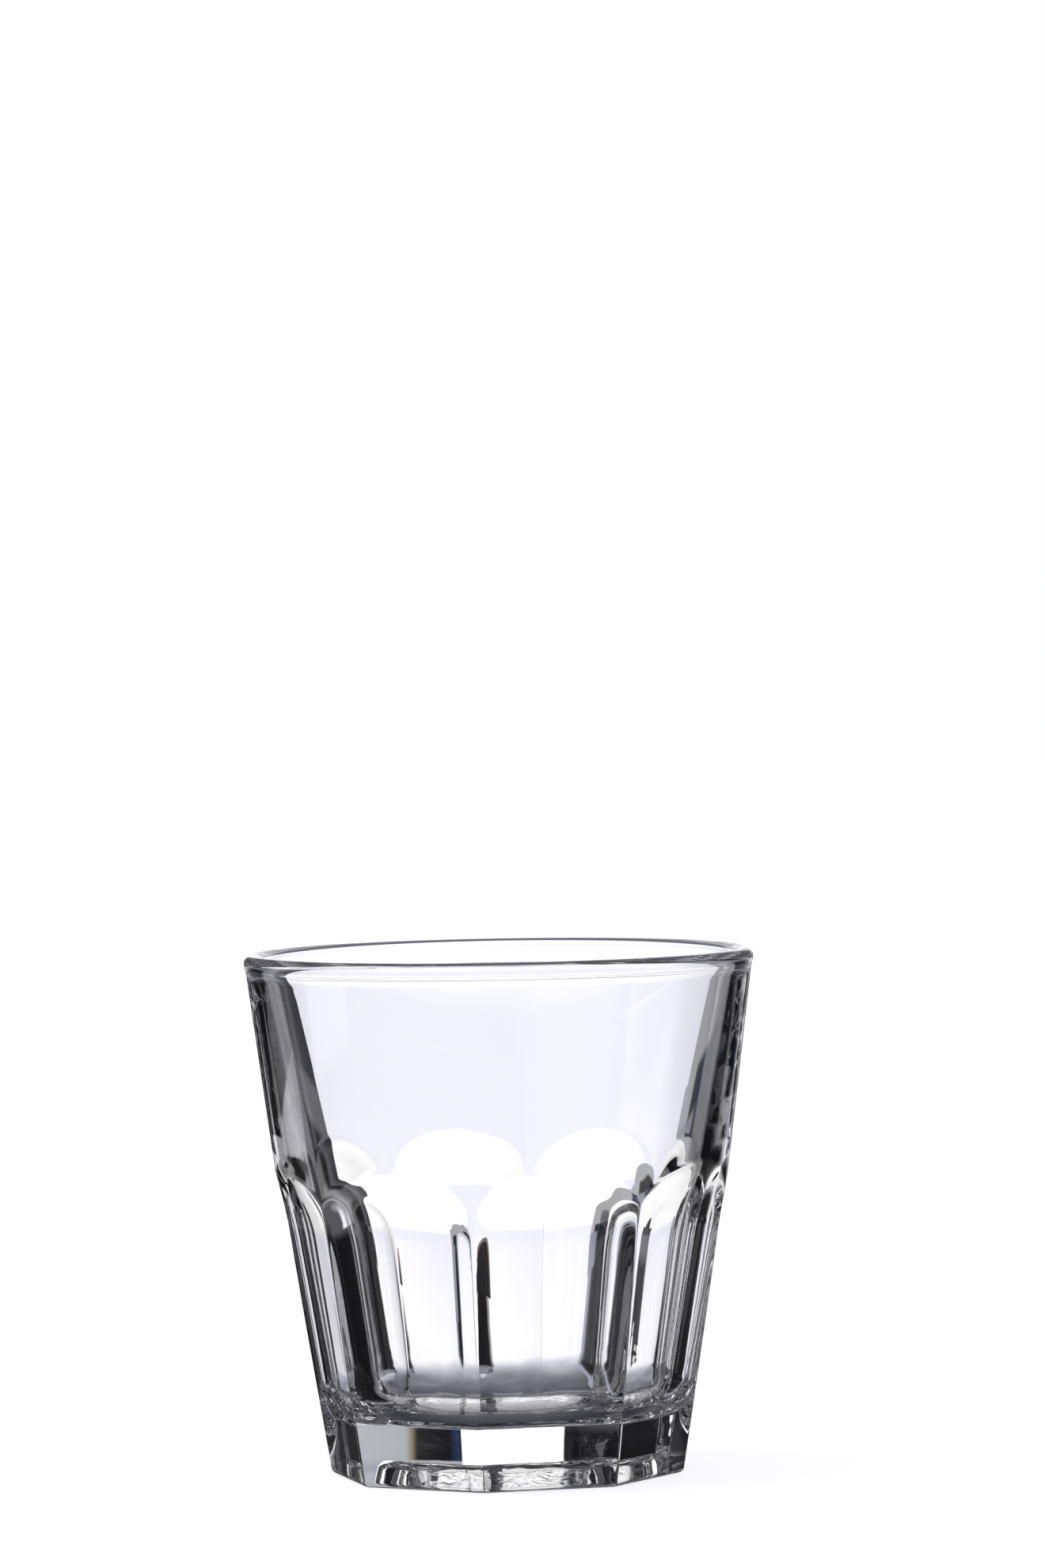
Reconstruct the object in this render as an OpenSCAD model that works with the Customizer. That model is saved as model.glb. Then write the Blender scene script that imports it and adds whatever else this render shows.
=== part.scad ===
// Juice glass of clear pressed glass, made in one piece.
// A plain flared wall rises to a rounded, fire-polished lip. Below it flat flutes with
// arched tops run down to a thick foot, and the foot is recessed underneath, so that
// the glass stands on a flat ring.
// The origin is the middle of the foot at table height, and +Z is up. Two flutes meet
// in a ridge on each of -X, +X, -Y and +Y.

/* [Wall] */
// Height from the table to the top of the lip
glass_h = 81.7; // [74:0.1:95]
// Diameter across the lip at its widest
rim_d = 79.4; // [75:0.1:86]
// Lean of the plain outer wall from upright, in degrees
wall_lean = 7.4; // [5:0.1:9]

/* [Lip] */
// Thickness of the lip, which is rounded over its whole width
lip_t = 2.6; // [1.8:0.1:3.6]
// Height of the lip's bead, from the crease below it to the top
lip_h = 2.6; // [2.1:0.1:4]
// How far the bead stands out from the line of the outer wall
lip_proud = 0.1; // [0.05:0.05:0.4]

/* [Flutes] */
// Number of flutes round the glass
flute_count = 8; // [6:1:10]
// Depth of the middle of a flute inside the round wall, at the table
flute_depth = 3.55; // [2.5:0.05:5]
// Lean of the flat of a flute from upright, in degrees
flute_lean = 8.6; // [7:0.1:9.6]
// Height of the top of a flute's arch above the table
flute_top_h = 48.6; // [42:0.1:60]
// Radius of the curve in which a flute runs out of the wall
flute_runout_r = 25; // [16:0.5:50]
// Radius of the rounded edge where a flute meets the underside
foot_edge_r = 1; // [0.4:0.1:1.8]

/* [Inside] */
// Height of the inner floor above the table
floor_h = 9.7; // [7.5:0.1:14]
// Radius of the inner corner between floor and wall
heel_r = 6.6; // [4:0.1:13]
// Thickness of the wall in the middle of a flute, where the inner corner ends
flute_wall = 2.8; // [1.8:0.1:4]

/* [Underside] */
// Width of the flat ring that the glass stands on, in the middle of a flute
foot_ring_w = 7.6; // [4:0.1:10]
// Height of the ceiling of the recess above the table
recess_h = 4.2; // [2.8:0.1:5.5]
// Lean of the side of the recess from upright, in degrees
recess_lean = 18; // [5:0.5:30]
// Radius of the round corner between the side of the recess and its ceiling
recess_round = 2.2; // [0.8:0.1:2.6]

/* [Hidden] */
$fn = 180;
// Length by which each cut runs past the surface that it leaves
overrun = 5;

// The lip is a full round, and its bead bulges out from the crease in a flatter arc
rim_r = rim_d / 2;
lip_r = lip_t / 2;
lip_centre_r = rim_r - lip_r;
lip_centre_h = glass_h - lip_r;
crease_h = glass_h - lip_h;
bead_h = lip_centre_h - crease_h;
bead_depth = lip_proud + bead_h * tan(wall_lean);
bead_r = (bead_h * bead_h + bead_depth * bead_depth) / (2 * bead_depth);

// Radius of the round outer wall at a height above the table
function wall_r(h) = rim_r - lip_proud - (lip_centre_h - h) * tan(wall_lean);

// Distance from the axis to the flat of a flute at a height above the table
function flat_r(h) = wall_r(0) - flute_depth + h * tan(flute_lean);

// The inner wall is straight. It passes the thinnest place of the flutes' wall and
// touches the round of the lip.
heel_top_h = floor_h + heel_r;
heel_top_r = flat_r(heel_top_h) - flute_wall;
to_lip_r = lip_centre_r - heel_top_r;
to_lip_h = lip_centre_h - heel_top_h;
inner_lean = atan2(to_lip_r, to_lip_h) - asin(lip_r / norm([to_lip_r, to_lip_h]));
heel_centre_r = heel_top_r - heel_r / cos(inner_lean);

// A flute is cut as by a wheel. Along the flat and square to it, these are the place of
// the arch's top and of the wheel's centre, both seen from the foot of the flat.
arch_out = wall_r(flute_top_h) - flat_r(0);
arch_square = arch_out * cos(flute_lean) - flute_top_h * sin(flute_lean);
arch_along = arch_out * sin(flute_lean) + flute_top_h * cos(flute_lean);
wheel_along = arch_along - sqrt(arch_square * (2 * flute_runout_r - arch_square));

// The rounded foot edge touches the table and the flat, and the flat ring lies inside it
edge_centre_r = flat_r(foot_edge_r) - foot_edge_r / cos(flute_lean);

// The round corner of the recess touches its leaning side and its ceiling
recess_r = edge_centre_r - foot_ring_w;
corner_h = recess_h - recess_round;
corner_r = recess_r - corner_h * tan(recess_lean) - recess_round / cos(recess_lean);

// Section of the recess under the foot, from beyond the axis outwards
module recess_section() {
    foot = [recess_r + overrun * tan(recess_lean), -overrun];
    touch = [corner_r + recess_round * cos(recess_lean), corner_h + recess_round * sin(recess_lean)];
    polygon([[-overrun, -overrun], foot, touch, [corner_r, corner_h], [corner_r, recess_h],
             [-overrun, recess_h]]);
    translate([corner_r, corner_h]) circle(r = recess_round);
}

// Section of the glass before the flutes are cut, from the axis outwards
module wall_section() {
    lip_touch = [lip_centre_r - lip_r * cos(inner_lean), lip_centre_h + lip_r * sin(inner_lean)];
    heel_touch = [heel_centre_r + heel_r * cos(inner_lean), heel_top_h - heel_r * sin(inner_lean)];
    difference() {
        union() {
            polygon([[0, 0], [wall_r(0), 0], [wall_r(lip_centre_h), lip_centre_h],
                     [lip_centre_r, lip_centre_h], lip_touch, heel_touch,
                     [heel_centre_r, floor_h], [0, floor_h]]);
            translate([lip_centre_r, lip_centre_h]) circle(r = lip_r);
            intersection() {
                translate([rim_r - bead_r, lip_centre_h]) circle(r = bead_r);
                translate([lip_centre_r, crease_h]) square([lip_r, bead_h]);
            }
        }
        translate([heel_centre_r, heel_top_h]) circle(r = heel_r);
        recess_section();
    }
}

// Side view of the wheel that cuts one flute, with the flat along the second axis
module flute_section() {
    circle_centre = [flute_runout_r, wheel_along];
    translate([flat_r(0), 0]) rotate(-flute_lean) {
        translate(circle_centre) circle(r = flute_runout_r);
        polygon([[0, -overrun], [0, wheel_along], circle_centre, [flute_runout_r, -overrun]]);
    }
}

// What is taken off below the rounded foot edge, in the same view
module foot_edge_section() {
    touch = [edge_centre_r + foot_edge_r * cos(flute_lean), foot_edge_r - foot_edge_r * sin(flute_lean)];
    outer_r = touch[0] + overrun;
    difference() {
        polygon([[edge_centre_r, 0], touch, [outer_r, touch[1]], [outer_r, -overrun],
                 [edge_centre_r, -overrun]]);
        translate([edge_centre_r, foot_edge_r]) circle(r = foot_edge_r);
    }
}

// Everything that one flute takes away, at the middle of the flute
module flute_cut() {
    rotate([90, 0, 0]) linear_extrude(height = rim_d, center = true) {
        flute_section();
        foot_edge_section();
    }
}

module tumbler() {
    step = 360 / flute_count;
    color([0.9, 0.94, 0.95, 0.5]) difference() {
        rotate_extrude() wall_section();
        for (i = [0 : flute_count - 1]) rotate((i + 1 / 2) * step) flute_cut();
    }
}

tumbler();
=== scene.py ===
import math

import bmesh
import bpy
from mathutils import Matrix, Vector, noise

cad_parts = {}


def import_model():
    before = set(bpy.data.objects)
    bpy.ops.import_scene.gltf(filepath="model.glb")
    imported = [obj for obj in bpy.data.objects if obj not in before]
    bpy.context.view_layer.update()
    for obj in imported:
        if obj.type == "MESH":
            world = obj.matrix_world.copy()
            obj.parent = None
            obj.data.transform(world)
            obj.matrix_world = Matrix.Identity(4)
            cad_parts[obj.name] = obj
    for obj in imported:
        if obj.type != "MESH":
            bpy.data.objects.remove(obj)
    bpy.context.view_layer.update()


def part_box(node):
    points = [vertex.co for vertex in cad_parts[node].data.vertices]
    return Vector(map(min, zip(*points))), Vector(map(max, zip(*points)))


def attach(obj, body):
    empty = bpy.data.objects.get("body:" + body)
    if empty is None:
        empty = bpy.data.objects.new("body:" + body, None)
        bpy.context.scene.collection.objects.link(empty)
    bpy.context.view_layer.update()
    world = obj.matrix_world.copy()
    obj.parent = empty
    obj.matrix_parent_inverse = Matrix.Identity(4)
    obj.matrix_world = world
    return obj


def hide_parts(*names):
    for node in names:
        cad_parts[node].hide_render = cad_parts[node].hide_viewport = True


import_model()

MM = 0.001

# Sizes of the glass, as in the part's source
glass_low, glass_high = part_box("tumbler")
GLASS_H = glass_high[2]
RIM_R = min(glass_high[0], glass_high[1], -glass_low[0], -glass_low[1])
WALL_LEAN = math.radians(7.4)
LIP_R = 1.3 * MM
LIP_H = 2.6 * MM
LIP_PROUD = 0.1 * MM
FLUTES = 8
FLUTE_DEPTH = 3.55 * MM
FLUTE_LEAN = math.radians(8.6)
FLUTE_TOP_H = 48.6 * MM
RUNOUT_R = 25 * MM
FOOT_EDGE_R = 1 * MM
FLOOR_H = 9.7 * MM
HEEL_R = 6.6 * MM
FLUTE_WALL = 2.8 * MM
FOOT_RING_W = 7.6 * MM
RECESS_H = 4.2 * MM
RECESS_LEAN = math.radians(18)
RECESS_ROUND = 2.2 * MM

# Softness of the edges that fire polishing leaves
RIDGE_ROUND = 0.22 * MM
ARCH_ROUND = 0.9 * MM
# Above the thick base the two flutes behind, beside the ridge at +Y, aren't quite flat: the right one
# rolls off towards the ridge, and the left one is a little hollow
ROLL_FLUTE = 1
ROLL_W = 3.2 * MM
ROLL_SOFT = 0.6 * MM
ROLL_SLOPE = 0.068
HOLLOW_FLUTE = 2
HOLLOW_W = 9.0 * MM
HOLLOW_DEPTH = 0.35 * MM
UNEVEN_FROM_H = 10 * MM
UNEVEN_FULL_H = 14 * MM

# Fine ripples that the press leaves in the glass: their depth on the inner floor and corner, in the recess
# and on its ceiling, and on the inner wall, where they grow from a height down to the corner
FLOOR_RIPPLE = 0.03 * MM
HEEL_RIPPLE = 0.04 * MM
RECESS_RIPPLE = 0.10 * MM
CEILING_RIPPLE = 0.05 * MM
WALL_RIPPLE = 0.002 * MM
RIPPLE_TOP_H = 24 * MM
# Width of a ripple in the section, radius of the circle in the noise that goes once round the glass, and
# distance from the axis within which the ripples fade towards the middle
RIPPLE_W = 1.9 * MM
RIPPLE_CIRCLE = 4.5
RIPPLE_FULL_R = 8 * MM
# How many times narrower the finer ripples are, and where in the noise they start
FINE_RIPPLE = 2.3
FINE_SHIFT = Vector((7, 3, 1))
# Roughness of the ridges: its depth, its width on each side of the ridge, the length of its grains, and how
# far apart in the noise the ridges lie
RIDGE_RIPPLE = 0.04 * MM
RIDGE_W = 0.5 * MM
RIDGE_GRAIN = 0.9 * MM
RIDGE_APART = 9

# How finely the surface is divided: steps across a flute, and along each part of the section
FLUTE_STEPS = 40
CEILING_STEPS = 22
CORNER_STEPS = 16
RECESS_SIDE_STEPS = 5
FOOT_RING_STEPS = 8
FOOT_EDGE_STEPS = 9
FLUTED_STEPS = 46
PLAIN_STEPS = 40
BEAD_STEPS = 6
LIP_STEPS = 16
INNER_WALL_STEPS = 56
HEEL_STEPS = 32
FLOOR_STEPS = 26
# Power by which the steps grow shorter towards the arches and the inner corner
CROWDING = 1.5
# Halvings of the span in which the height of an arch's edge is looked for
HALVINGS = 40
# A column this near a ridge, as a share of a flute, belongs to the flute beyond it. Columns alike to this
# many places share the height of their arch. Vertices nearer than this distance become one.
RIDGE_SHARE = 1e-6
ANGLE_PLACES = 4
MERGE_BELOW = 1e-7

FLUTE_TURN = 2 * math.pi / FLUTES
HALF_TURN = FLUTE_TURN / 2
# How strongly soda-lime glass bends light, and how often light may pass or leave a surface
GLASS_IOR = 1.52
BOUNCES = 32


def wall_r(h):
    """Radius of the round outer wall."""
    return RIM_R - LIP_PROUD - (LIP_CENTRE_H - h) * math.tan(WALL_LEAN)


def flat_r(h):
    """Distance from the axis to the flat of a flute."""
    return wall_r(0) - FLUTE_DEPTH + h * math.tan(FLUTE_LEAN)


# The lip is a full round, and its bead bulges out from the crease below it
LIP_CENTRE_R = RIM_R - LIP_R
LIP_CENTRE_H = GLASS_H - LIP_R
CREASE_H = GLASS_H - LIP_H
BEAD_H = LIP_CENTRE_H - CREASE_H
BEAD_DEPTH = LIP_PROUD + BEAD_H * math.tan(WALL_LEAN)
BEAD_R = (BEAD_H ** 2 + BEAD_DEPTH ** 2) / (2 * BEAD_DEPTH)
# The straight inner wall runs from the inner corner to the round of the lip
HEEL_TOP_H = FLOOR_H + HEEL_R
HEEL_TOP_R = flat_r(HEEL_TOP_H) - FLUTE_WALL
to_lip = Vector((LIP_CENTRE_R - HEEL_TOP_R, LIP_CENTRE_H - HEEL_TOP_H))
INNER_LEAN = math.atan2(to_lip[0], to_lip[1]) - math.asin(LIP_R / to_lip.length)
HEEL_CENTRE_R = HEEL_TOP_R - HEEL_R / math.cos(INNER_LEAN)
# The flat ring of the foot lies between the rounded edge and the recess. The round corner of the recess
# touches its side and its ceiling.
EDGE_CENTRE_R = flat_r(FOOT_EDGE_R) - FOOT_EDGE_R / math.cos(FLUTE_LEAN)
RECESS_R = EDGE_CENTRE_R - FOOT_RING_W
CORNER_H = RECESS_H - RECESS_ROUND
CORNER_R = RECESS_R - CORNER_H * math.tan(RECESS_LEAN) - RECESS_ROUND / math.cos(RECESS_LEAN)
# The wheel that cuts a flute: where its centre lies, seen square to the flute
arch_out = wall_r(FLUTE_TOP_H) - flat_r(0)
arch_square = arch_out * math.cos(FLUTE_LEAN) - FLUTE_TOP_H * math.sin(FLUTE_LEAN)
arch_along = arch_out * math.sin(FLUTE_LEAN) + FLUTE_TOP_H * math.cos(FLUTE_LEAN)
wheel_along = arch_along - math.sqrt(arch_square * (2 * RUNOUT_R - arch_square))
WHEEL_R = flat_r(0) + RUNOUT_R * math.cos(FLUTE_LEAN) + wheel_along * math.sin(FLUTE_LEAN)
WHEEL_H = wheel_along * math.cos(FLUTE_LEAN) - RUNOUT_R * math.sin(FLUTE_LEAN)
RUNOUT_H = wheel_along * math.cos(FLUTE_LEAN)


def flute_r(h):
    """Distance from the axis to the middle of a flute, flat below and curving out above."""
    if h < RUNOUT_H:
        return flat_r(h)
    return WHEEL_R - math.sqrt(max(RUNOUT_R ** 2 - (h - WHEEL_H) ** 2, 0))


def held(value):
    """A value held between 0 and 1."""
    return min(max(value, 0), 1)


def soft_min(a, b, width):
    """The smaller of two radii, rounded where they cross."""
    near = max(width - abs(a - b), 0) / width
    return min(a, b) - near * near * width / 4


def octagon_r(flat, turn):
    """Radius of an octagon with softened corners, at an angle from the middle of a side."""
    here = flat / math.cos(turn)
    beside = flat / math.cos(FLUTE_TURN - abs(turn))
    return soft_min(here, beside, RIDGE_ROUND)


def uneven(flute, flat, turn, h):
    """How far the two uneven flutes lie inside their flats."""
    full = held((h - UNEVEN_FROM_H) / (UNEVEN_FULL_H - UNEVEN_FROM_H))
    half_w = flat * math.tan(HALF_TURN)
    across = flat * math.tan(turn)
    if flute == ROLL_FLUTE:
        inside = max(ROLL_W - (half_w - across), 0)
        soft = min(inside, ROLL_SOFT)
        return full * ROLL_SLOPE * (inside - soft + soft * soft / (2 * ROLL_SOFT))
    if flute == HOLLOW_FLUTE:
        # The factor makes the deepest place, at a third of the width, as deep as the depth says
        share = held((half_w + across) / HOLLOW_W)
        return full * HOLLOW_DEPTH * share * (1 - share) ** 2 * 27 / 4
    return 0.0


def arch_h(turn):
    """Height at which the edge of a flute's arch crosses this angle."""
    low, high = FLUTE_TOP_H / 2, FLUTE_TOP_H + LIP_R
    for _ in range(HALVINGS):
        middle = (low + high) / 2
        if flute_r(middle) / math.cos(turn) < wall_r(middle):
            low = middle
        else:
            high = middle
    return low


def ripple(around, r, h):
    """Uneven waves between about -1 and 1 that run round the glass, broad ones with finer ones over them."""
    spot = Vector((math.cos(around) * RIPPLE_CIRCLE, math.sin(around) * RIPPLE_CIRCLE, (h - r) / RIPPLE_W))
    fading = min(r / RIPPLE_FULL_R, 1)
    return fading * (noise.noise(spot) + noise.noise(FINE_RIPPLE * spot + FINE_SHIFT) / 2)


def ridge_ripple(flute, flat, turn, h):
    """How far the roughness of the nearest ridge lies inside it."""
    to_ridge = flat * (math.tan(HALF_TURN) - abs(math.tan(turn)))
    ridge = (flute + (turn > 0)) % FLUTES
    grain = noise.noise(Vector((ridge * RIDGE_APART, 0, h / RIDGE_GRAIN)))
    return abs(RIDGE_RIPPLE * max(1 - to_ridge / RIDGE_W, 0) * grain)


def arc(centre, radius, start, end, steps):
    """Points of an arc in the section, angles in degrees."""
    points = []
    for i in range(steps + 1):
        a = math.radians(start + (end - start) * i / steps)
        points.append((centre[0] + radius * math.cos(a), centre[1] + radius * math.sin(a)))
    return points


def line(start, end, steps, crowding=1.0):
    """Points along a straight line, without its ends; they crowd at its end if crowding is over 1."""
    points = []
    for i in range(1, steps):
        share = 1 - (1 - i / steps) ** crowding
        points.append((start[0] + (end[0] - start[0]) * share, start[1] + (end[1] - start[1]) * share))
    return points


# A row of the surface is its kind, two numbers, and how far and which way in the section it ripples.
# A round row has a radius and a height. A row of the foot ring has its share of the way out. One of the
# foot edge has the distance of its flat and its height. One below or above the arches has its share of
# the way up.


def rippled(points, centre, depth):
    """Round rows that ripple away from a centre of the section, or up and down where that is None."""
    rows = []
    for r, h in points:
        away = Vector((r - centre[0], h - centre[1])).normalized() if centre else Vector((0, 1))
        rows.append(("round", r, h, away * depth))
    return rows


def still(kind, points):
    """Rows without ripples."""
    return [(kind, a, b, Vector((0, 0))) for a, b in points]


def underside_rows():
    """From the middle of the recess out to the top of the foot edge."""
    centre = (CORNER_R, CORNER_H)
    corner = arc(centre, RECESS_ROUND, 90, math.degrees(RECESS_LEAN), CORNER_STEPS)
    foot = (RECESS_R, 0.0)
    edge_centre = (EDGE_CENTRE_R, FOOT_EDGE_R)
    rows = still("round", [(0.0, RECESS_H)])
    rows += rippled(line((0, RECESS_H), corner[0], CEILING_STEPS), None, CEILING_RIPPLE)
    rows += rippled(corner, centre, RECESS_RIPPLE)
    rows += rippled(line(corner[-1], foot, RECESS_SIDE_STEPS), centre, RECESS_RIPPLE / 2)
    rows += still("round", [foot])
    rows += still("ring", [(i / FOOT_RING_STEPS, 0.0) for i in range(1, FOOT_RING_STEPS)])
    rows += still("edge", arc(edge_centre, FOOT_EDGE_R, -90, -math.degrees(FLUTE_LEAN), FOOT_EDGE_STEPS))
    return rows


def outer_rows():
    """From the foot edge up over the arches to the crease below the lip."""
    below = [(1 - (1 - i / FLUTED_STEPS) ** CROWDING, 0.0) for i in range(1, FLUTED_STEPS + 1)]
    above = [((i / PLAIN_STEPS) ** CROWDING, 0.0) for i in range(1, PLAIN_STEPS)]
    return still("below", below) + still("above", above)


def lip_rows():
    """Over the bead and the lip to the inner wall."""
    lowest = math.degrees(math.asin(BEAD_H / BEAD_R))
    bead = arc((RIM_R - BEAD_R, LIP_CENTRE_H), BEAD_R, -lowest, 0, BEAD_STEPS)
    lip = arc((LIP_CENTRE_R, LIP_CENTRE_H), LIP_R, 0, 180 - math.degrees(INNER_LEAN), LIP_STEPS)
    return still("round", bead[:-1] + lip)


def inner_rows(lip_touch):
    """From the lip down the inner wall, round the corner and in to the middle of the floor."""
    centre = (HEEL_CENTRE_R, HEEL_TOP_H)
    heel = arc(centre, HEEL_R, -math.degrees(INNER_LEAN), -90, HEEL_STEPS)
    rows = []
    for r, h in line(lip_touch, heel[0], INNER_WALL_STEPS, CROWDING):
        grown = max((RIPPLE_TOP_H - h) / (RIPPLE_TOP_H - HEEL_TOP_H), 0)
        rows += rippled([(r, h)], centre, WALL_RIPPLE + (HEEL_RIPPLE - WALL_RIPPLE) * grown)
    rows += rippled(heel, centre, HEEL_RIPPLE)
    rows += rippled(line(heel[-1], (0, FLOOR_H), FLOOR_STEPS), None, FLOOR_RIPPLE)
    return rows + still("round", [(0.0, FLOOR_H)])


def placed(row, flute, turn, arch):
    """Radius and height of a point of a row, at an angle from the middle of a flute."""
    kind, a, b = row[:3]
    if kind == "ring":
        outer = octagon_r(EDGE_CENTRE_R, turn)
        return RECESS_R + (outer - RECESS_R) * a, 0.0
    if kind == "edge":
        return octagon_r(a, turn), b
    if kind == "below":
        low = FOOT_EDGE_R * (1 - math.sin(FLUTE_LEAN))
        h = low + (arch - low) * a
    elif kind == "above":
        h = arch + (CREASE_H - arch) * a
    else:
        return a, b
    flat = flute_r(h)
    fluted = octagon_r(flat, turn) - uneven(flute, flat, turn, h) - ridge_ripple(flute, flat, turn, h)
    return soft_min(fluted, wall_r(h), ARCH_ROUND), h


def spun_rows(bm, rows):
    """A vertex for each row, spun round the axis and marked with its row. Its place is a stand-in."""
    row_of = bm.verts.layers.int.new("row")
    last = None
    for i, row in enumerate(rows):
        on_axis = row[0] == "round" and row[1] == 0
        vert = bm.verts.new((0, 0, i) if on_axis else (i + 1, 0, 0))
        vert[row_of] = i
        if last:
            bm.edges.new((last, vert))
        last = vert
    spin(bm, 2 * math.pi, FLUTE_STEPS * FLUTES, closed=True)
    return row_of


def spin(bm, angle, steps, closed=False):
    """Spins what is there round the axis of the glass."""
    bmesh.ops.spin(bm, geom=bm.verts[:] + bm.edges[:], cent=(0, 0, 0), axis=(0, 0, 1), angle=angle,
                   steps=steps, use_merge=closed, use_duplicate=False)


def tumbler_mesh():
    rows = underside_rows() + outer_rows() + lip_rows()
    rows += inner_rows(rows[-1][1:3])
    bm = bmesh.new()
    row_of = spun_rows(bm, rows)
    arches = {}
    for vert in bm.verts:
        row = rows[vert[row_of]]
        around = math.atan2(vert.co.y, vert.co.x)
        flute = math.floor(around / FLUTE_TURN + RIDGE_SHARE)
        middle = (flute + 0.5) * FLUTE_TURN
        # Columns crowd at the ridges
        share = (around - middle) / HALF_TURN
        turn = math.sin(share * math.pi / 2) * HALF_TURN
        key = round(abs(share), ANGLE_PLACES)
        if key not in arches:
            arches[key] = arch_h(turn)
        r, h = placed(row, flute, turn, arches[key])
        x, y = r * math.cos(middle + turn), r * math.sin(middle + turn)
        if row[3].length:
            wave = ripple(middle + turn, r, h)
            grown = 1 + row[3][0] * wave / r
            x, y, h = x * grown, y * grown, h + row[3][1] * wave
        vert.co = (x, y, h)
    bmesh.ops.remove_doubles(bm, verts=bm.verts[:], dist=MERGE_BELOW)
    bmesh.ops.recalc_face_normals(bm, faces=bm.faces[:])
    for face in bm.faces:
        face.smooth = True
    return finished_mesh("tumbler_glass", bm)


def finished_mesh(name, bm):
    mesh = bpy.data.meshes.new(name)
    bm.to_mesh(mesh)
    bm.free()
    return mesh


def clear_glass():
    mat = bpy.data.materials.new("clear_glass")
    mat.use_nodes = True
    sockets = mat.node_tree.nodes["Principled BSDF"].inputs
    sockets["Base Color"].default_value = (1, 1, 1, 1)
    sockets["Roughness"].default_value = 0.0
    sockets["IOR"].default_value = GLASS_IOR
    sockets["Transmission Weight"].default_value = 1.0
    return mat


def new_piece(name, mesh, mat):
    piece = bpy.data.objects.new(name, mesh)
    bpy.context.collection.objects.link(piece)
    piece.data.materials.append(mat)
    return piece


def tumbler():
    piece = new_piece("tumbler_glass", tumbler_mesh(), clear_glass())
    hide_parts("tumbler")
    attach(piece, "root")


# Camera, as it stood for the photograph: distances from the middle of the foot, angles in degrees
CAMERA_TURN = 7.9
CAMERA_AWAY = 1254 * MM
CAMERA_UP = 144 * MM
CAMERA_LENS = 184.95
CAMERA_PITCH = 1.6661
CAMERA_YAW = 0.1931
CAMERA_ROLL = 1.0
SENSOR_W = 36
CLIP = (0.05, 30)


def camera():
    data = bpy.data.cameras.new("camera")
    data.sensor_width = SENSOR_W
    data.lens = CAMERA_LENS
    data.clip_start, data.clip_end = CLIP
    cam = bpy.data.objects.new("camera", data)
    bpy.context.collection.objects.link(cam)
    turn = math.radians(CAMERA_TURN)
    cam.rotation_mode = "QUATERNION"
    look = (Matrix.Rotation(math.radians(CAMERA_TURN - CAMERA_YAW), 3, "Z")
            @ Matrix.Rotation(math.radians(90 - CAMERA_PITCH), 3, "X")
            @ Matrix.Rotation(math.radians(-CAMERA_ROLL), 3, "Z"))
    cam.location = (CAMERA_AWAY * math.sin(turn), -CAMERA_AWAY * math.cos(turn), CAMERA_UP)
    cam.rotation_quaternion = look.to_quaternion()
    bpy.context.scene.camera = cam


# The studio round the glass. The camera sees plain white and the floor. What the glass bends or mirrors is
# a dark ring round it, open behind, with cards that narrow the opening. Through the opening the glass shows
# the bright part of the floor and the bright world beyond. Bearings are angles to the right of the line from
# the camera through the glass.
RING_R = 240 * MM
RING_H = 300 * MM
RING_OPEN = math.radians(32)
RING_STEPS = 150
RING_DARK = (0.010, 0.010, 0.011, 1)

# Further bright openings, behind the glass as other views see it: bearing of the middle, half width, and
# softness of the edge
SIDE_OPEN = (math.radians(-82), math.radians(16), math.radians(5))
SIDE_FOOT_OPEN = (math.radians(-92), math.radians(11.5), math.radians(2.5))
BACK_OPEN = (math.radians(143), math.radians(14), math.radians(22))
CORNER_OPEN = (math.radians(-41.3), math.radians(19.5), math.radians(0.5))
# Distances at which the floor turns bright in the two openings at the side, and dark again in the corner
SIDE_OPEN_R = (150 * MM, 190 * MM)
SIDE_FOOT_R = (188 * MM, 204 * MM)
CORNER_OPEN_R = (235 * MM, 238 * MM)
# Brightness of the ring in its openings, against the height in metres
OPEN_SPAN = 0.12
SIDE_OPEN_LEVELS = [
    (0.016, (0.10, 0.10, 0.11)),
    (0.027, (0.85, 0.85, 0.94)),
    (0.045, (1.10, 1.10, 1.18)),
    (0.088, (1.10, 1.10, 1.18)),
    (0.098, (0.22, 0.22, 0.24)),
]
SIDE_FOOT_LEVELS = [
    (0.0, (1.02, 1.02, 1.12)),
    (0.045, (1.10, 1.10, 1.18)),
    (0.088, (1.10, 1.10, 1.18)),
    (0.098, (0.22, 0.22, 0.24)),
]
BACK_OPEN_LEVELS = [
    (0.0, (1.10, 1.10, 1.18)),
    (0.026, (1.10, 1.10, 1.18)),
    (0.062, (0.16, 0.16, 0.18)),
]
# Brightness of the floor in the back and corner openings, against the distance in metres from the middle of
# the glass. Near the glass it is darker, as painted shade.
OPEN_FLOOR_SPAN = 0.25
OPEN_FLOOR_LEVELS = [
    (0.045, (0.05, 0.05, 0.06)),
    (0.060, (0.40, 0.40, 0.46)),
    (0.085, (0.80, 0.79, 0.88)),
    (0.120, (1.08, 1.07, 1.16)),
    (0.180, (1.12, 1.11, 1.19)),
]

# Fine dark louvres on the floor of the corner opening. Low views meet their faces, and higher views look
# down between them at the floor, which is brighter there to make up for what they cover.
LOUVRE_TURNS = (math.radians(-61.5), math.radians(-21.1))
LOUVRE_R = 60 * MM
LOUVRE_APART = 0.12 * MM
LOUVRE_H = 0.027 * MM
LOUVRES = 1483
LOUVRE_STEPS = 30
CORNER_STRENGTH = 1.85

# A grey collar round the glass just below the lip. Only the glass shows it, as a painted grey band in the
# lip.
COLLAR_R = (40.3 * MM, 44.3 * MM)
COLLAR_H = 77.6 * MM
COLLAR_LEAN = math.radians(7.2)
COLLAR_STEPS = 180
COLLAR_GREY = (0.17, 0.17, 0.22, 1)

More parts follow.
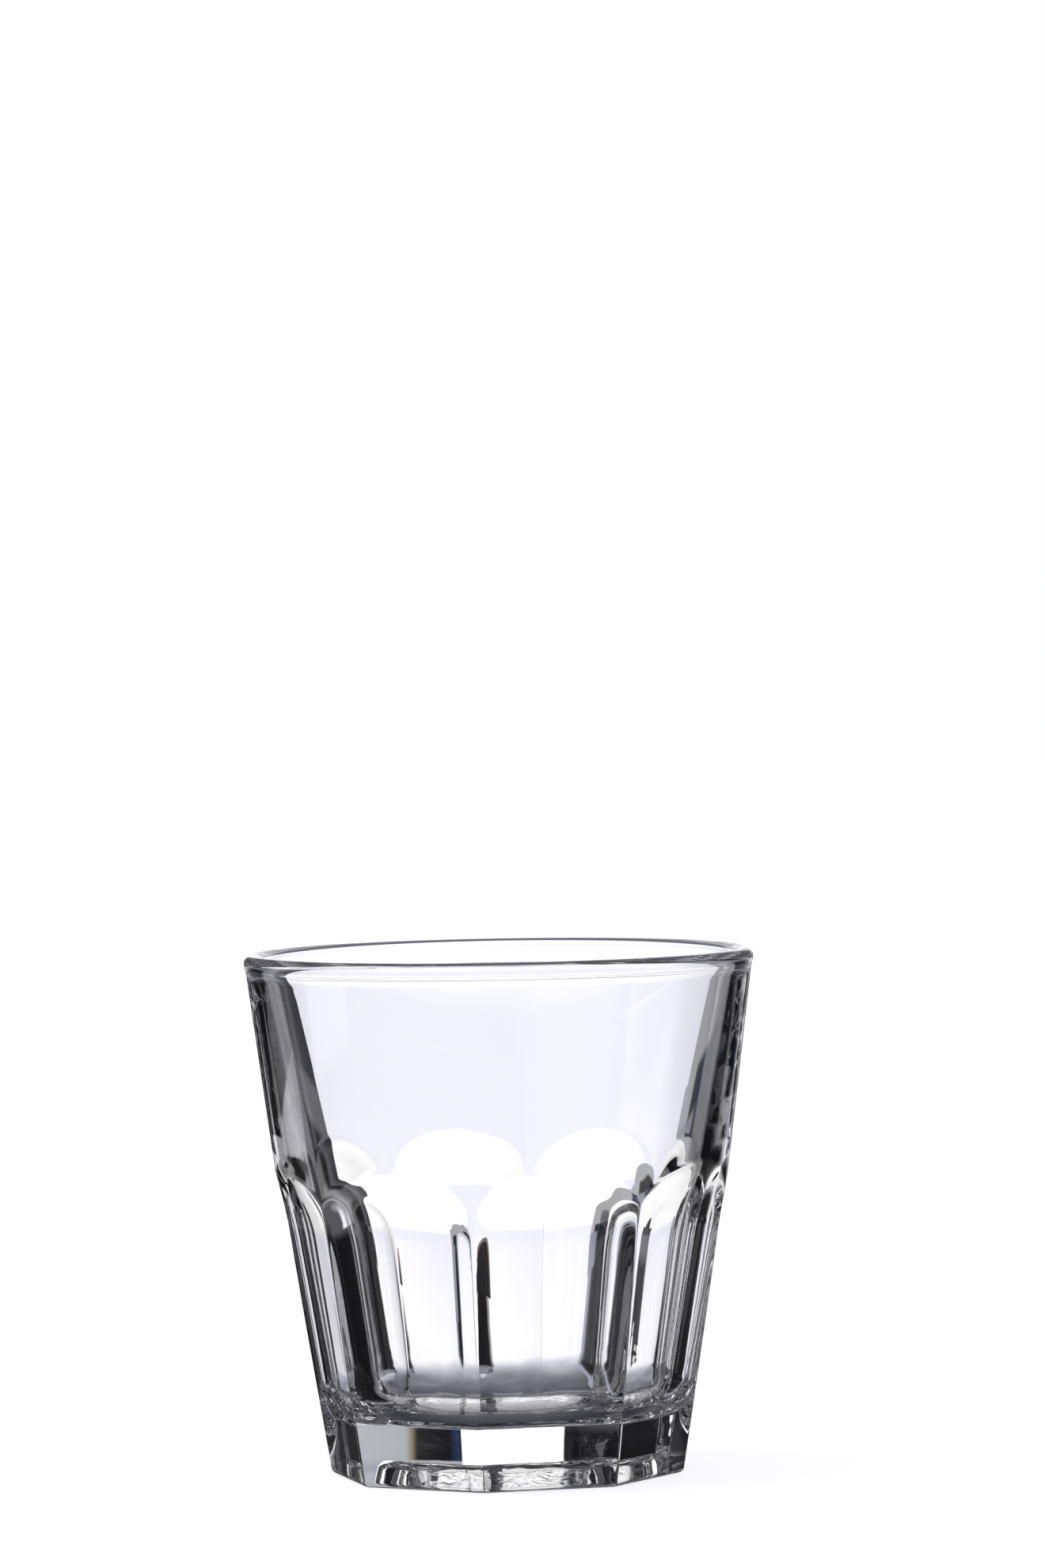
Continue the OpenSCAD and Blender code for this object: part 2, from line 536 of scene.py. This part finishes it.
# Corners of the cards in mm, to the right of the line from the camera through the glass, and up
CARD_AHEAD = 200 * MM
CARDS = {
    "card_left": ((-66, 0), (-160, 0), (-160, 300), (-71, 300), (-71, 20), (-66, 13)),
    "card_right": ((69, 0), (160, 0), (160, 300), (91, 300), (91, 31), (82, 25), (69, 25)),
}
# Heights at which the levels of the cards' foot give way to those of the lower part, and these to those of
# the upper part
LOW_TURN = (15 * MM, 17.5 * MM)
HIGH_TURN = (25.5 * MM, 28 * MM)
# Half width of the opening between the cards
OPEN_HALF = 71 * MM
# Brightness beside the bright part, against the distance to the side as a share of its half width, from a
# first share on and over a span: on the floor, on the foot of the cards, on their lower part, and on their
# upper part
BESIDE_FROM = 0.90
BESIDE_SPAN = 1.3
BLACK = (0.006, 0.006, 0.007)
LEFT_LEVELS = [
    [(1.0, (0.42, 0.39, 0.38)), (1.03, (0.36, 0.33, 0.32)), (1.06, (0.14, 0.12, 0.12)),
     (1.10, (0.04, 0.04, 0.04)), (1.2, BLACK)],
    [(0.93, (0.40, 0.33, 0.27)), (0.955, (0.20, 0.16, 0.13)), (0.97, (0.020, 0.020, 0.022)), (1.4, BLACK)],
    [(1.0, (0.16, 0.16, 0.18)), (1.24, (0.17, 0.17, 0.19)), (1.28, BLACK)],
    [(1.0, (0.03, 0.03, 0.04)), (1.13, (0.06, 0.06, 0.07)), (1.30, (0.13, 0.13, 0.15)),
     (1.38, (0.06, 0.06, 0.07)), (1.46, (0.01, 0.01, 0.01)), (1.6, BLACK)],
]
RIGHT_LEVELS = [
    [(1.0, (0.42, 0.44, 0.54)), (1.09, (0.36, 0.37, 0.44)), (1.14, (0.12, 0.11, 0.12)),
     (1.20, (0.03, 0.03, 0.03)), (1.35, BLACK)],
    [(1.0, (0.35, 0.36, 0.44)), (1.22, (0.30, 0.31, 0.38)), (1.27, (0.08, 0.08, 0.09)),
     (1.32, (0.02, 0.02, 0.02)), (1.5, BLACK)],
    [(0.98, (0.50, 0.52, 0.56)), (1.10, (0.46, 0.48, 0.50)), (1.115, (0.30, 0.26, 0.18)),
     (1.13, (0.02, 0.02, 0.02)), (1.215, (0.006, 0.006, 0.008)), (1.245, (0.02, 0.04, 0.11)), (1.4, BLACK)],
    [(1.28, (0.46, 0.46, 0.48)), (1.35, (0.18, 0.18, 0.19)), (1.50, (0.12, 0.11, 0.11)),
     (1.56, (0.04, 0.035, 0.03)), (1.70, (0.01, 0.01, 0.01))],
]

# The floor as the camera sees it: a steady part, and a part that the glass can shade. The lamp and a soft
# white from all round light only this second part. The floor's radius and the lamp's sizes are in metres.
FLOOR_DROP = 0.05 * MM
FLOOR_R = 4.0
FLOOR_SEGMENTS = 96
FLOOR_BASE = (0.78, 0.78, 0.84, 1)
FLOOR_LIT = (0.32, 0.32, 0.27, 1)
FLOOR_MIRRORED = (0.05, 0.05, 0.05, 1)
AROUND_DIFFUSE = 0.8
WHITE = (1, 1, 1, 1)
LAMP_POWER = 3.0
LAMP_SIZE = 0.5
LAMP_PLACE = (-0.35, -0.1, 0.85)

# Brightness of the floor along the line from the camera through the glass, in metres from the middle of the
# glass, as seen through the glass. Under the glass it has painted caustics, bright and dark bands as the
# light that a glass gathers on a table has, and close behind the glass it is darker, as painted shade.
FLOOR_SPAN = 1.2
FLOOR_LEVELS = [
    (-0.06, (0.02, 0.02, 0.03)),
    (-0.028, (0.12, 0.12, 0.14)),
    (-0.012, (0.03, 0.03, 0.04)),
    (0.006, (0.16, 0.16, 0.19)),
    (0.022, (0.05, 0.05, 0.07)),
    (0.048, (0.25, 0.25, 0.29)),
    (0.062, (0.50, 0.50, 0.58)),
    (0.075, (0.70, 0.70, 0.80)),
    (0.092, (0.92, 0.91, 1.0)),
    (0.115, (1.12, 1.11, 1.18)),
    (0.16, (1.19, 1.19, 1.22)),
    (0.28, (1.13, 1.12, 1.20)),
    (0.40, (1.065, 1.06, 1.18)),
    (0.62, (1.065, 1.06, 1.18)),
    (0.74, (1.2, 1.2, 1.2)),
]
# The light falls off a little from the left edge of the bright floor to the right
FALL_LEFT = 1.03
FALL_RIGHT = 0.94
# The bright part of the floor fans out behind the glass: least half width, spread and softness of its edge
FAN_HALF = 27 * MM
FAN_SPREAD = 0.36
FAN_SOFT = 0.03
# Brightness of the world from straight down to straight up
WORLD_LEVELS = [
    (0.0, (0.3, 0.3, 0.3)),
    (0.46, (1.1, 1.1, 1.2)),
    (0.50, (1.25, 1.25, 1.25)),
    (0.72, (1.25, 1.25, 1.25)),
    (0.84, (0.10, 0.10, 0.10)),
    (1.0, (0.05, 0.05, 0.05)),
]


class Shader:
    """Nodes of a material or of the world. What goes into a node is a number, a colour or an output."""

    def __init__(self, owner, output="ShaderNodeOutputMaterial"):
        owner.use_nodes = True
        self.tree = owner.node_tree
        self.tree.nodes.clear()
        self.output = self.tree.nodes.new(output)

    def node(self, kind, *values):
        node = self.tree.nodes.new(kind)
        for socket, value in zip(node.inputs, values):
            if isinstance(value, bpy.types.NodeSocket):
                self.tree.links.new(value, socket)
            else:
                socket.default_value = value
        return node

    def maths(self, operation, a, b=0.0):
        node = self.node("ShaderNodeMath", a, b)
        node.operation = operation
        return node.outputs[0]

    def scaled(self, value, low, high, out_low=0.0, out_high=1.0):
        """A value mapped from one span to another and held within it."""
        return self.node("ShaderNodeMapRange", value, low, high, out_low, out_high).outputs[0]

    def ramp(self, value, stops, span, first=0.0):
        """Colour at a value, between stops that lie within a span."""
        node = self.node("ShaderNodeValToRGB", self.scaled(value, first, first + span))
        points = node.color_ramp.elements
        while len(points) < len(stops):
            points.new(0.5)
        for point, (at, colour) in zip(points, stops):
            point.position = (at - first) / span
            point.color = (*colour, 1)
        return node.outputs[0]

    def glow(self, colour, strength=1.0):
        return self.node("ShaderNodeEmission", colour, strength).outputs[0]

    def mixed(self, share, first, second):
        return self.node("ShaderNodeMixShader", share, first, second).outputs[0]

    def ray(self, kind):
        return self.node("ShaderNodeLightPath").outputs[kind]

    def place(self):
        """Right, ahead and up from the middle of the glass, as the camera of the photograph looks."""
        coords = self.node("ShaderNodeTexCoord").outputs["Object"]
        turned = self.node("ShaderNodeVectorRotate", coords)
        turned.rotation_type = "Z_AXIS"
        turned.inputs["Angle"].default_value = math.radians(-CAMERA_TURN)
        return self.node("ShaderNodeSeparateXYZ", turned.outputs[0]).outputs

    def show(self, surface):
        self.tree.links.new(surface, self.output.inputs["Surface"])


def new_material(name):
    mat = bpy.data.materials.new(name)
    return mat, Shader(mat)


def plain_material(name, colour):
    mat, shader = new_material(name)
    shader.show(shader.glow(colour))
    return mat


def beside(shader, right, share, left_levels, right_levels):
    """The dark surroundings left and right of the bright part."""
    sides = [shader.glow(shader.ramp(share, levels, BESIDE_SPAN, BESIDE_FROM))
             for levels in (left_levels, right_levels)]
    return shader.mixed(shader.scaled(right, -MM, MM), *sides)


def opening(shader, right, ahead, middle, half, soft):
    """One within an opening, nothing beside it."""
    bearing = shader.maths("ARCTAN2", right, ahead)
    away = shader.maths("ABSOLUTE", shader.maths("SUBTRACT", bearing, middle))
    return shader.scaled(away, half, half + soft, 1, 0)


def ring_material():
    """Dark, but bright in its openings to what the glass bends."""
    mat, shader = new_material("ring_dark")
    right, ahead, up = shader.place()
    bent = shader.ray("Is Transmission Ray")
    surface = shader.glow(RING_DARK)
    for shape, levels in ((SIDE_OPEN, SIDE_OPEN_LEVELS), (SIDE_FOOT_OPEN, SIDE_FOOT_LEVELS),
                          (BACK_OPEN, BACK_OPEN_LEVELS)):
        inside = shader.maths("MULTIPLY", opening(shader, right, ahead, *shape), bent)
        surface = shader.mixed(inside, surface, shader.glow(shader.ramp(up, levels, OPEN_SPAN)))
    shader.show(surface)
    return mat


def open_floor(shader, right, ahead, dark):
    """The floor beside the bright part: dark, but for the further openings."""
    squares = [shader.maths("MULTIPLY", way, way) for way in (right, ahead)]
    distance = shader.maths("SQRT", shader.maths("ADD", *squares))
    for shape, reach, levels in ((SIDE_OPEN, SIDE_OPEN_R, SIDE_OPEN_LEVELS),
                                 (SIDE_FOOT_OPEN, SIDE_FOOT_R, SIDE_FOOT_LEVELS)):
        far = shader.scaled(distance, *reach)
        inside = shader.maths("MULTIPLY", opening(shader, right, ahead, *shape), far)
        dark = shader.mixed(inside, dark, shader.glow((*levels[0][1], 1)))
    near = shader.scaled(distance, *CORNER_OPEN_R, 1, 0)
    corner = shader.maths("MULTIPLY", opening(shader, right, ahead, *CORNER_OPEN), near)
    either = shader.maths("MAXIMUM", corner, opening(shader, right, ahead, *BACK_OPEN))
    strength = shader.scaled(corner, 0, 1, 1, CORNER_STRENGTH)
    # Darker towards the glass, as painted shade
    bright = shader.glow(shader.ramp(distance, OPEN_FLOOR_LEVELS, OPEN_FLOOR_SPAN), strength)
    return shader.mixed(either, dark, bright)


def floor_material():
    """White to the camera, bright and dark to what the glass bends, and dark to what it mirrors."""
    mat, shader = new_material("floor_white")
    right, ahead, _ = shader.place()
    half = shader.maths("MAXIMUM", shader.maths("MULTIPLY", ahead, FAN_SPREAD), FAN_HALF)
    share = shader.maths("DIVIDE", shader.maths("ABSOLUTE", right), half)
    dark = beside(shader, right, share, LEFT_LEVELS[0], RIGHT_LEVELS[0])
    dark = open_floor(shader, right, ahead, dark)
    fall = shader.scaled(shader.maths("DIVIDE", right, half), -1, 1, FALL_LEFT, FALL_RIGHT)
    # Painted caustic bands and painted shade of the glass on the floor, with the painted fall of light
    bright = shader.glow(shader.ramp(ahead, FLOOR_LEVELS, FLOOR_SPAN, FLOOR_LEVELS[0][0]), fall)
    bent = shader.mixed(shader.scaled(share, 1 - FAN_SOFT, 1), bright, dark)
    unseen = shader.mixed(shader.ray("Is Transmission Ray"), shader.glow(FLOOR_MIRRORED), bent)
    lit = shader.node("ShaderNodeBsdfDiffuse", FLOOR_LIT).outputs[0]
    seen = shader.node("ShaderNodeAddShader", shader.glow(FLOOR_BASE), lit).outputs[0]
    shader.show(shader.mixed(shader.ray("Is Camera Ray"), unseen, seen))
    return mat


def card_material():
    mat, shader = new_material("card")
    right, ahead, up = shader.place()
    share = shader.maths("DIVIDE", shader.maths("ABSOLUTE", right), OPEN_HALF)
    foot, lower, upper = [beside(shader, right, share, *levels)
                          for levels in zip(LEFT_LEVELS[1:], RIGHT_LEVELS[1:])]
    below = shader.mixed(shader.scaled(up, *LOW_TURN), foot, lower)
    shader.show(shader.mixed(shader.scaled(up, *HIGH_TURN), below, upper))
    return mat


def backdrop_piece(name, bm, mat):
    """A piece of the studio that the camera itself doesn't see and that shades nothing."""
    piece = new_piece(name, finished_mesh(name, bm), mat)
    piece.visible_camera = False
    piece.visible_diffuse = False
    piece.visible_shadow = False


def upright(bm, radius, bearing, low, high):
    """An upright edge at a distance and a bearing from the glass."""
    turn = math.pi / 2 + math.radians(CAMERA_TURN) - bearing
    spot = (radius * math.cos(turn), radius * math.sin(turn))
    bm.edges.new((bm.verts.new((*spot, low)), bm.verts.new((*spot, high))))


def floor():
    bm = bmesh.new()
    bmesh.ops.create_circle(bm, cap_ends=True, segments=FLOOR_SEGMENTS, radius=FLOOR_R)
    bmesh.ops.translate(bm, verts=bm.verts[:], vec=(0, 0, -FLOOR_DROP))
    new_piece("floor", finished_mesh("floor", bm), floor_material())


def ring():
    bm = bmesh.new()
    upright(bm, RING_R, -RING_OPEN, 0, RING_H)
    spin(bm, 2 * (math.pi - RING_OPEN), RING_STEPS)
    backdrop_piece("ring", bm, ring_material())


def louvres():
    bm = bmesh.new()
    for i in range(LOUVRES):
        upright(bm, LOUVRE_R + i * LOUVRE_APART, LOUVRE_TURNS[1], -FLOOR_DROP, LOUVRE_H - FLOOR_DROP)
    spin(bm, LOUVRE_TURNS[1] - LOUVRE_TURNS[0], LOUVRE_STEPS)
    backdrop_piece("louvres", bm, plain_material("louvre_dark", RING_DARK))


def collar():
    """The lip shows the collar as a grey band, and little else does, because it lies along the view."""
    bm = bmesh.new()
    outer_h = COLLAR_H - (COLLAR_R[1] - COLLAR_R[0]) * math.tan(COLLAR_LEAN)
    inner = bm.verts.new((COLLAR_R[0], 0, COLLAR_H))
    outer = bm.verts.new((COLLAR_R[1], 0, outer_h))
    bm.edges.new((inner, outer))
    spin(bm, 2 * math.pi, COLLAR_STEPS, closed=True)
    backdrop_piece("collar", bm, plain_material("collar_grey", COLLAR_GREY))


def cards():
    turn = Matrix.Rotation(math.radians(CAMERA_TURN), 4, "Z")
    mat = card_material()
    for name, corners in CARDS.items():
        bm = bmesh.new()
        bm.faces.new([bm.verts.new((x * MM, CARD_AHEAD, z * MM)) for x, z in corners])
        bmesh.ops.triangulate(bm, faces=bm.faces[:])
        bmesh.ops.transform(bm, matrix=turn, verts=bm.verts[:])
        backdrop_piece(name, bm, mat)


def world():
    """White to the camera, an even soft white to the floor, and brightest round the horizon to the glass."""
    studio = bpy.data.worlds.new("studio")
    bpy.context.scene.world = studio
    shader = Shader(studio, "ShaderNodeOutputWorld")
    coords = shader.node("ShaderNodeTexCoord").outputs["Generated"]
    height = shader.scaled(shader.node("ShaderNodeSeparateXYZ", coords).outputs["Z"], -1, 1)
    around = shader.node("ShaderNodeBackground", shader.ramp(height, WORLD_LEVELS, 1.0)).outputs[0]
    soft = shader.node("ShaderNodeBackground", WHITE, AROUND_DIFFUSE).outputs[0]
    white = shader.node("ShaderNodeBackground", WHITE).outputs[0]
    unseen = shader.mixed(shader.ray("Is Diffuse Ray"), around, soft)
    shader.show(shader.mixed(shader.ray("Is Camera Ray"), unseen, white))


def lamp():
    """A soft lamp at the upper left that the glass doesn't show."""
    data = bpy.data.lights.new("lamp", "AREA")
    data.shape = "DISK"
    data.size = LAMP_SIZE
    data.energy = LAMP_POWER
    light = bpy.data.objects.new("lamp", data)
    bpy.context.collection.objects.link(light)
    light.location = LAMP_PLACE
    light.rotation_mode = "QUATERNION"
    light.rotation_quaternion = (-Vector(LAMP_PLACE)).to_track_quat("-Z", "Y")
    light.visible_camera = False
    light.visible_glossy = False
    light.visible_transmission = False


def settings():
    scene = bpy.context.scene
    scene.view_settings.view_transform = "Standard"
    scene.cycles.max_bounces = BOUNCES
    scene.cycles.transmission_bounces = BOUNCES
    scene.cycles.glossy_bounces = BOUNCES


camera()
tumbler()
floor()
ring()
cards()
louvres()
collar()
world()
lamp()
settings()
